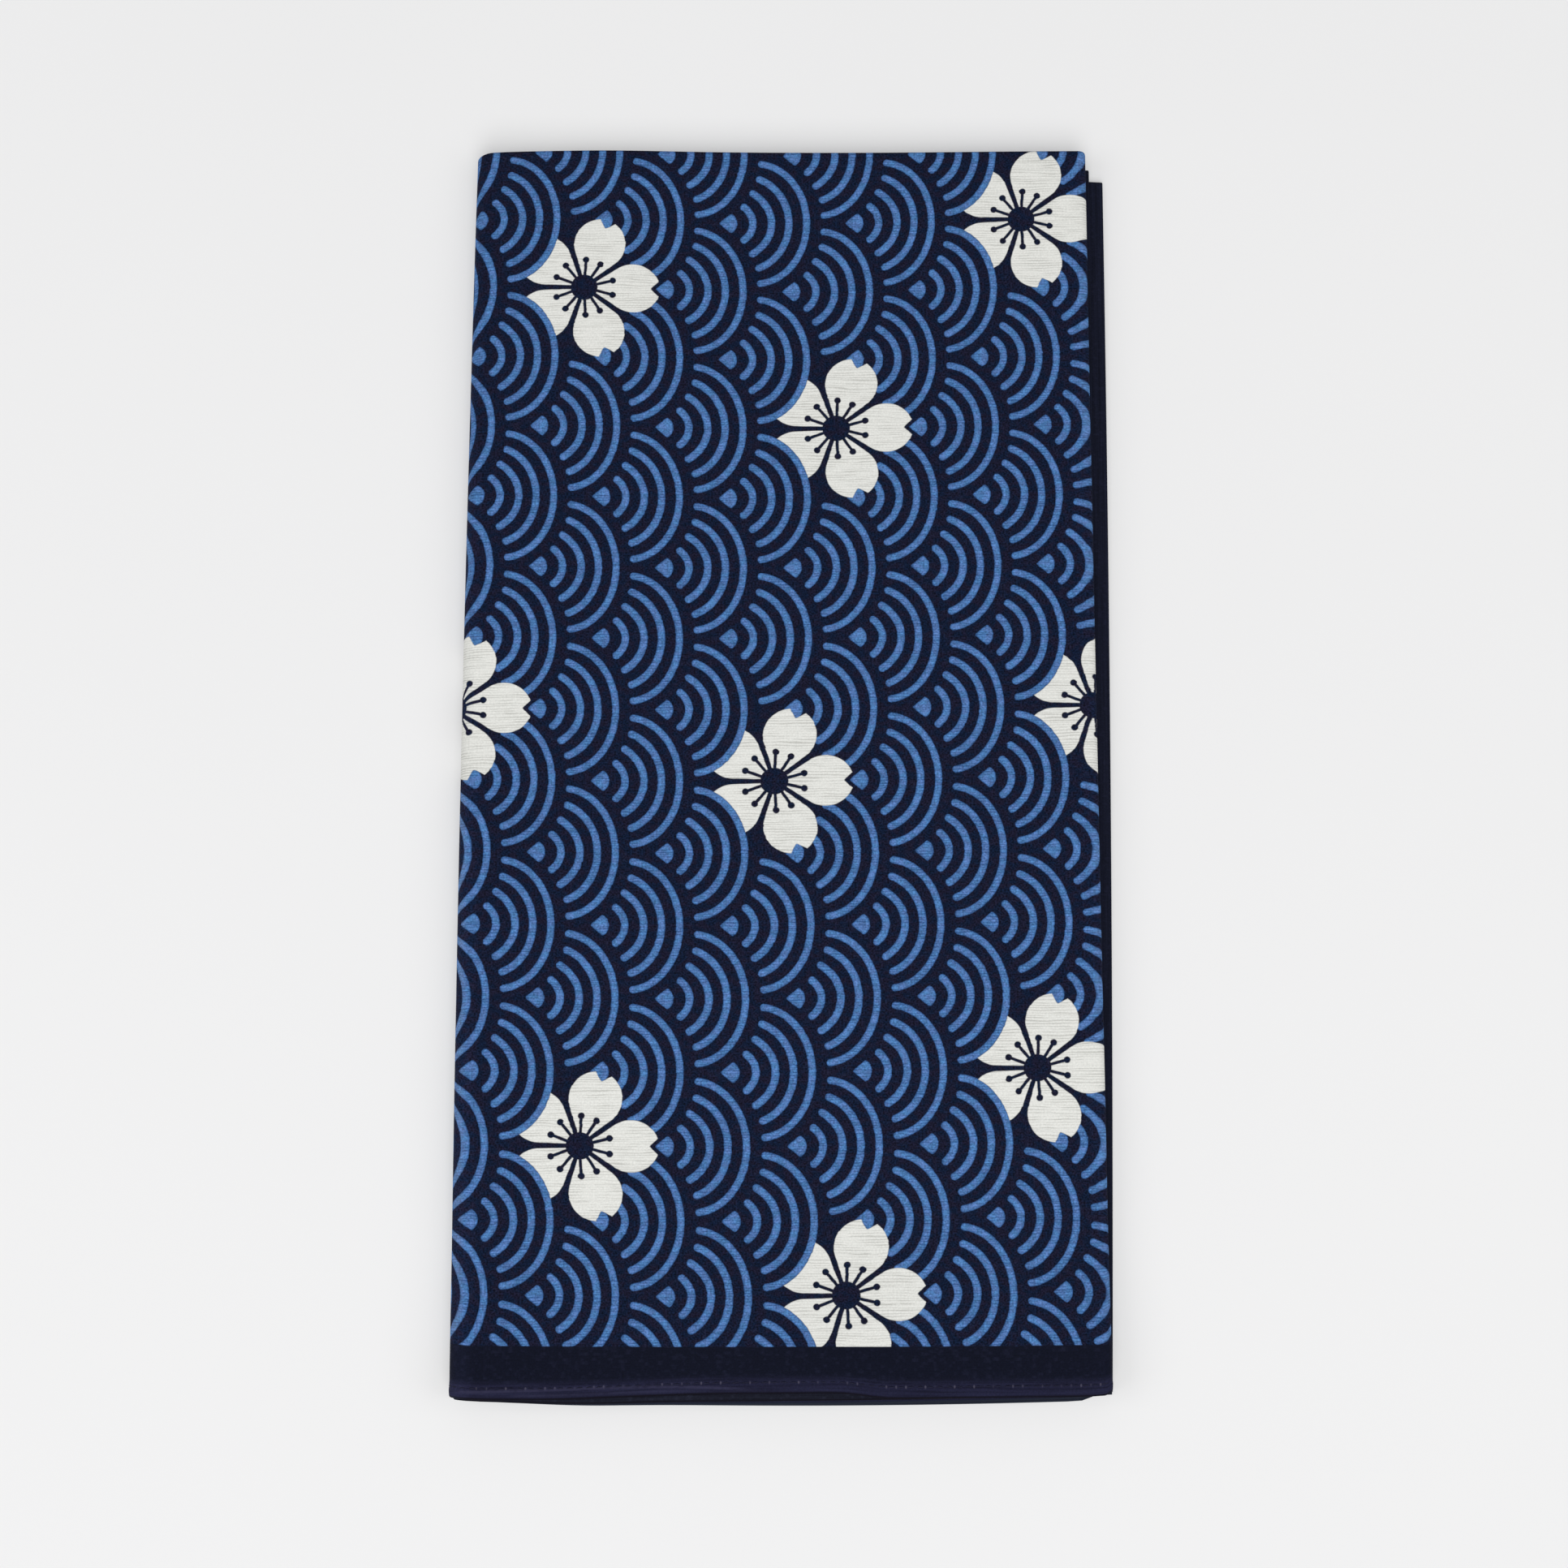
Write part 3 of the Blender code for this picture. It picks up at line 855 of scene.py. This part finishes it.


# Painted highlights along lines on the top panel's hem and at the panel's two folds, and pale specks where
# the needle pierced the hem. Places are in mm on the flat cloth.
wearPlan = {
    "hemLines": [
        {"from": 177.0, "to": 250.0, "fromHem": 1.9, "fall": 0.6, "bow": 1.1, "half": 0.65, "share": 1.0},
        {"from": 192.0, "to": 236.0, "fromHem": 1.15, "fall": 0.0, "bow": 0.1, "half": 0.5, "share": 0.45},
    ],
    "fade": (4.0, 9.0), "lineCore": 0.1, "lineGrit": (0.2, 0.55, 0.4, 1.0),
    "speckFrom": 0.95, "speckRadius": (0.12, 0.36), "speckTall": 1.7, "speckCloud": 9.0,
    "torn": (0.42, 0.75),
    "folds": [(174.5, 1.0), (349.5, 0.3)], "foldReach": (1.0, 6.0), "crestReach": (0.5, 2.6),
}


def makeWear():
    tree, given = startGroup("hem and fold wear", {"Point": "VECTOR", "From Hem": "VALUE", "Grit": "VALUE"})
    plan = wearPlan
    x, _ = given["Point"].split()
    fadeIn, fadeOut = plan["fade"]
    lines = []
    for line in plan["hemLines"]:
        start, end = line["from"], line["to"]
        along = (x - start) / (end - start)
        ridge = along * (1.0 - along) * (4 * line["bow"]) - along * line["fall"] + line["fromHem"]
        off = abs(given["From Hem"] - ridge)
        pale = off.ramp(plan["lineCore"], line["half"], line["share"], 0.0)
        pale = pale * x.ramp(start - fadeIn, start)
        lines.append(pale * x.ramp(end - fadeOut, end + fadeOut, 1.0, 0.0))
    rubbed = most(*lines) * given["Grit"].ramp(*plan["lineGrit"])
    every = stitchPlan["every"]
    fromStitch = (given["From Hem"] - foldedCloth["stitchFromHem"]) / plan["speckTall"]
    hole = joinNodes((x - plan["speckFrom"]).math("WRAP", every / 2, -every / 2), fromStitch)
    torn = given["Point"].noise((every, plan["speckCloud"]), 0.0)
    speck = hole.measure("LENGTH").ramp(*plan["speckRadius"], 1.0, 0.0)
    speck = speck * torn.ramp(*plan["torn"])
    folds = [most(*[abs(x - at).ramp(*plan[reach], share, 0.0) for at, share in plan["folds"]])
             for reach in ("foldReach", "crestReach")]
    return endGroup(tree, Rubbed=rubbed, Speck=speck, Fold=folds[0], Crest=folds[1])


# The cloth's coordinates in mm, from its two UV maps
def clothCoordinates(tree):
    toSide = foldedCloth["side"]
    flat = Wire(newNode(tree, "ShaderNodeUVMap", uv_map="clothCoords").outputs["UV"])
    edge = Wire(newNode(tree, "ShaderNodeUVMap", uv_map="edgeCoords").outputs["UV"])
    return flat.vector("MULTIPLY", (toSide, toSide, 0.0)), edge.vector("MULTIPLY", (100.0, 100.0, 0.0))


print("mixing the colours of the print")
waveShape = makeWaveShape()
nearestBlossom = makeNearestBlossom()
blossomShape = makeBlossomShape()
wavePrint = makeWavePrint(waveShape, nearestBlossom, blossomShape)
slubWeave = makeSlubWeave()
printDrift = makePrintDrift()
clothWear = makeWear()

# Where each colour sets in: shares of the weave's noises, and places in mm
dyePlan = {
    "grit": (0.3, 0.7), "cloud": (0.3, 0.7, 0.98, 1.02), "mottle": (0.32, 0.68), "lint": (0.45, 0.85),
    "rimDepth": 0.5, "printEdge": 0.3, "turned": (-1.2, 1.6), "bottomPanel": 4.0, "hemEdge": (0.2, 0.8),
    "roughSpan": 0.05,
}

printedSide = {
    "name": "printed cotton",
    "navy": (0.0040, 0.0095, 0.0288, 1), "navyWarm": (0.0086, 0.0086, 0.0234, 1),
    "border": (0.0048, 0.0060, 0.0145, 1), "hem": (0.0132, 0.0136, 0.0345, 1),
    "streaks": (22.0, 0.55), "streakShare": 1.3,
    "selvedge": (0.0082, 0.0099, 0.0213, 1), "ribs": (0.45, 30.0), "ribShare": 0.9,
    # The next two colours are painted light at the hems' very edges: painted shade on the upper sheets, a
    # painted highlight on the bottom panel's sheets
    "hemEdge": (0.0045, 0.0040, 0.0085, 1), "lowHemEdge": (0.014, 0.018, 0.030, 1),
    # The pale colour is for painted highlights on single yarns
    "pale": (0.018, 0.020, 0.044, 1), "paleShare": 0.32,
    "wave": (0.071, 0.191, 0.421, 1), "waveWarm": (0.092, 0.184, 0.427, 1),
    # The gap colours are painted shade between the weft yarns
    "waveRim": (0.042, 0.116, 0.300, 1), "waveGap": (0.024, 0.075, 0.220, 1),
    "waveGapShare": 0.75, "uneven": 0.15,
    "petal": (0.750, 0.753, 0.718, 1), "petalGap": (0.46, 0.46, 0.43, 1), "petalGapShare": 0.78,
    # Pale specks at the needle holes, then the painted highlight along the top panel's hem
    "speck": (0.13, 0.12, 0.17, 1), "speckShare": 0.4, "worn": (0.036, 0.035, 0.075, 1), "wornShare": 0.7,
    "groundFleck": 0.9, "borderFleck": 0.2, "waveFleck": 0.45, "petalFleck": 0.10,
    # Painted sheen along the folds, on the ground and on the waves
    "groundFade": 0.42, "waveFade": 0.085, "faded": (0.45, 0.50, 0.55, 1),
    "bump": 0.35, "roughness": 0.86,
}

# On the wrong side the border and the hem are coloured dark: painted shade on the lower sheets' strips that
# show under the upper hems
wrongSide = dict(
    printedSide, name="wrong side of the cotton",
    navy=(0.016, 0.021, 0.042, 1), navyWarm=(0.020, 0.021, 0.038, 1), border=(0.010, 0.011, 0.020, 1),
    hem=(0.010, 0.011, 0.020, 1), pale=(0.034, 0.038, 0.065, 1), wave=(0.062, 0.125, 0.230, 1),
    waveWarm=(0.080, 0.115, 0.230, 1), waveRim=(0.050, 0.095, 0.190, 1), waveGap=(0.050, 0.095, 0.190, 1),
    petal=(0.55, 0.55, 0.53, 1), petalGap=(0.42, 0.42, 0.41, 1), speckShare=0.0, wornShare=0.0)


def shadeNodes(colour, value):
    return value.into("ShaderNodeHueSaturation", "Color", {"Color": colour, "Value": value})


# Bands or streaks of noise that make a colour lighter and darker round its own value
def streakNodes(point, colour, size, detail, share):
    return shadeNodes(colour, point.noise(size, detail) * share + (1 - share / 2))


def newMaterial(name):
    material = bpy.data.materials.new(name)
    material.use_nodes = True
    return material, material.node_tree, material.node_tree.nodes["Principled BSDF"]


def cottonMaterial(look):
    material, tree, shader = newMaterial(look["name"])
    flat, edge = clothCoordinates(tree)
    flatX, flatY = flat.split()
    fromHem, fromSelvedge = edge.split()
    weave = useGroup(tree, slubWeave, Point=flat)
    drift = useGroup(tree, printDrift, Point=flat)["Drift"]
    wear = useGroup(tree, clothWear, **{"Point": flat, "From Hem": fromHem, "Grit": weave["Grit"]})
    point = flat.vector("SUBTRACT", drift).vector("SUBTRACT", (*printPlan["dotAt"], 0.0))
    point = point.vector("ADD", weave["Step"])
    across = acrossTop(flatX).math("MINIMUM", 1.0).math("MAXIMUM", -1.0)
    course = across * (across * printPlan["borderBow"] + printPlan["borderTilt"]) + printPlan["hemBorder"]
    fromEnd = foldedLength - abs(flatY - foldedLength)
    border = least(fromEnd - course, fromSelvedge - printPlan["selvedgeBorder"])
    design = useGroup(tree, wavePrint, Point=point, Border=border, Softness=printPlan["softness"])
    gap = weave["Gap"]
    dye, span = dyePlan, look["uneven"]
    uneven = weave["Grit"].ramp(*dye["grit"], 1 - span, 1 + span)
    uneven = uneven * weave["Cloud"].ramp(*dye["cloud"])
    depth = design["Wave Depth"].ramp(0.0, dye["rimDepth"])
    warmth = weave["Mottle"].ramp(*dye["mottle"])
    navy = warmth.blend(look["navy"], look["navyWarm"])
    printed = border.ramp(-dye["printEdge"], dye["printEdge"])
    ground = printed.blend(look["border"], navy)
    # The selvedge strip has the weave's ribs, and its colour is painted lighter than the border: painted
    # light on the strip that shows at the pile's right
    selvedge = streakNodes(flat, look["selvedge"], look["ribs"], 1.0, look["ribShare"])
    pastSelvedge = fromSelvedge - printPlan["selvedgeBorder"]
    nearSelvedge = pastSelvedge.ramp(-dye["printEdge"], 0.0, 1.0, 0.0)
    ground = nearSelvedge.blend(ground, selvedge)
    turned = (fromHem - foldedCloth["hemWidth"]).ramp(*dye["turned"], 1.0, 0.0)
    hem = streakNodes(flat, look["hem"], look["streaks"], 2.0, look["streakShare"])
    ground = turned.blend(ground, hem)
    # Painted highlights on single yarns lighten the ground towards the pale colour
    lint = weave["Grit"].ramp(*dye["lint"]) * look["paleShare"]
    ground = lint.blend(ground, look["pale"])
    fleck = weave["Fleck"] * 2.0 - 1.0
    groundFleck = printed * (look["groundFleck"] - look["borderFleck"]) + look["borderFleck"]
    # A painted highlight along the folds lightens the ground there
    faded = wear["Fold"] * look["groundFade"] + 1.0
    ground = shadeNodes(ground, (fleck * groundFleck + 1.0) * faded)
    # Along the hems' very edges the colour is painted light: painted shade on the upper sheets, a painted
    # highlight on the bottom panel's sheets below them
    under = (flatX - panelWidth).ramp(-dye["bottomPanel"], dye["bottomPanel"], 1.0, 0.0)
    rim = under.blend(look["hemEdge"], look["lowHemEdge"])
    ground = fromHem.ramp(*dye["hemEdge"], 1.0, 0.0).blend(ground, rim)
    wave = warmth.blend(look["wave"], look["waveWarm"])
    wave = depth.blend(look["waveRim"], wave)
    # Painted shade in the gaps between weft yarns darkens the waves here and the petals below
    wave = (gap * look["waveGapShare"]).blend(wave, look["waveGap"])
    wave = shadeNodes(wave, uneven * (fleck * look["waveFleck"] + 1.0))
    # A painted sheen at the folds' crests lightens the waves
    wave = (wear["Crest"] * look["waveFade"]).blend(wave, look["faded"])
    petal = (gap * look["petalGapShare"]).blend(look["petal"], look["petalGap"])
    petal = shadeNodes(petal, fleck * look["petalFleck"] + 1.0)
    colour = design["Wave"].blend(ground, wave)
    colour = design["Petal"].blend(colour, petal)
    colour = (wear["Speck"] * look["speckShare"]).blend(colour, look["speck"])
    # Painted highlight along lines on the top panel's hem
    colour = (wear["Rubbed"] * look["wornShare"]).blend(colour, look["worn"])
    plug(shader.inputs["Base Color"], colour)
    smooth, rough = look["roughness"] - dye["roughSpan"], look["roughness"] + dye["roughSpan"]
    plug(shader.inputs["Roughness"], weave["Grit"].ramp(*dye["grit"], smooth, rough))
    plug(shader.inputs["Normal"], weave["Height"].bump(look["bump"]))
    shader.inputs["Specular IOR Level"].default_value = 0.06
    spreadNodes(tree)
    return material


threadLook = {
    "dark": (0.0115, 0.0120, 0.0285, 1), "light": (0.0200, 0.0205, 0.0440, 1),
    "twist": 0.5, "bump": 0.5, "roughness": 0.75,
}


# Sewing thread: two plies, seen as slanted bands
def threadMaterial(look):
    material, tree, shader = newMaterial("sewing thread")
    place = Wire(newNode(tree, "ShaderNodeTexCoord").outputs["Object"])
    values = {"Vector": place, "Scale": 1 / (look["twist"] * mm), "Distortion": 1.5}
    bands = newNode(tree, "ShaderNodeTexWave", values, bands_direction="DIAGONAL")
    ply = Wire(bands.outputs["Fac"])
    plug(shader.inputs["Base Color"], ply.blend(look["dark"], look["light"]))
    plug(shader.inputs["Normal"], ply.bump(look["bump"]))
    shader.inputs["Roughness"].default_value = look["roughness"]
    shader.inputs["Specular IOR Level"].default_value = 0.1
    spreadNodes(tree)
    return material


cloth.data.materials.append(cottonMaterial(printedSide))
cloth.data.materials.append(cottonMaterial(wrongSide))
stitches.data.materials.append(threadMaterial(threadLook))

tableLook = {
    "size": 4.0, "pale": (0.52, 0.52, 0.523, 1), "faint": (0.51, 0.51, 0.513, 1), "patch": 1 / 6,
    "roughness": 0.7,
    "glow": (1.0, 1.0, 1.0, 1), "glowStrength": 0.33,
}


# A plain pale table top, far wider than the view. It glows a little, painted light that makes the shadows
# cast on it fainter.
def makeTable(look):
    half = look["size"] / 2
    mesh = bpy.data.meshes.new("paleTable")
    corners = [(-half, -half, 0), (half, -half, 0), (half, half, 0), (-half, half, 0)]
    mesh.from_pydata(corners, [], [(0, 1, 2, 3)])
    material, tree, shader = newMaterial("pale table")
    place = Wire(newNode(tree, "ShaderNodeTexCoord").outputs["Object"])
    patches = place.noise(look["patch"], 2.0)
    plug(shader.inputs["Base Color"], patches.blend(look["faint"], look["pale"]))
    shader.inputs["Roughness"].default_value = look["roughness"]
    shader.inputs["Specular IOR Level"].default_value = 0.2
    shader.inputs["Emission Color"].default_value = look["glow"]
    shader.inputs["Emission Strength"].default_value = look["glowStrength"]
    mesh.materials.append(material)
    return addObject("paleTable", mesh)


# The camera hangs over the middle of the cloth, tipped a little towards its crease, in mm and degrees
cameraPlan = {"place": (-9.49, -163.18, 900.6), "turn": (9.896, -0.484, -0.390), "lens": 75.34}


def makeCamera(plan):
    data = bpy.data.cameras.new("photoCamera")
    data.lens = plan["lens"]
    data.sensor_width = 36.0
    data.clip_start = 0.01
    camera = addObject("photoCamera", data)
    camera.location = Vector(plan["place"]) * mm
    camera.rotation_euler = [math.radians(angle) for angle in plan["turn"]]
    bpy.context.scene.camera = camera


# Soft boxes, placed in metres: a broad one beyond the hems, and weaker ones at the sides
softBoxes = [
    {"name": "hemSideLight", "place": (0.1, -2.4, 3.0), "size": 2.5, "power": 91.0},
    {"name": "leftLight", "place": (-1.6, -0.3, 1.6), "size": 1.4, "power": 13.0},
    {"name": "rightLight", "place": (1.6, -0.3, 1.6), "size": 1.4, "power": 9.5},
]


def makeLight(plan):
    data = bpy.data.lights.new(plan["name"], "AREA")
    data.size = plan["size"]
    data.energy = plan["power"]
    light = addObject(plan["name"], data)
    light.location = plan["place"]
    light.rotation_euler = (-Vector(plan["place"])).to_track_quat("-Z", "Y").to_euler()


skyLook = {"colour": (1.0, 1.0, 1.0, 1), "strength": 0.33}


def makeSky(look):
    world = bpy.data.worlds.new("paleRoom")
    world.use_nodes = True
    background = world.node_tree.nodes["Background"]
    background.inputs["Color"].default_value = look["colour"]
    background.inputs["Strength"].default_value = look["strength"]
    bpy.context.scene.world = world


print("setting the table, the camera and the lights")
table = makeTable(tableLook)
makeCamera(cameraPlan)
for plan in softBoxes:
    makeLight(plan)
makeSky(skyLook)
bpy.context.scene.view_settings.view_transform = "Standard"

for piece in (cloth, stitches):
    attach(piece, "root")
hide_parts("furoshiki_cloth")
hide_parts("furoshiki_cloth")
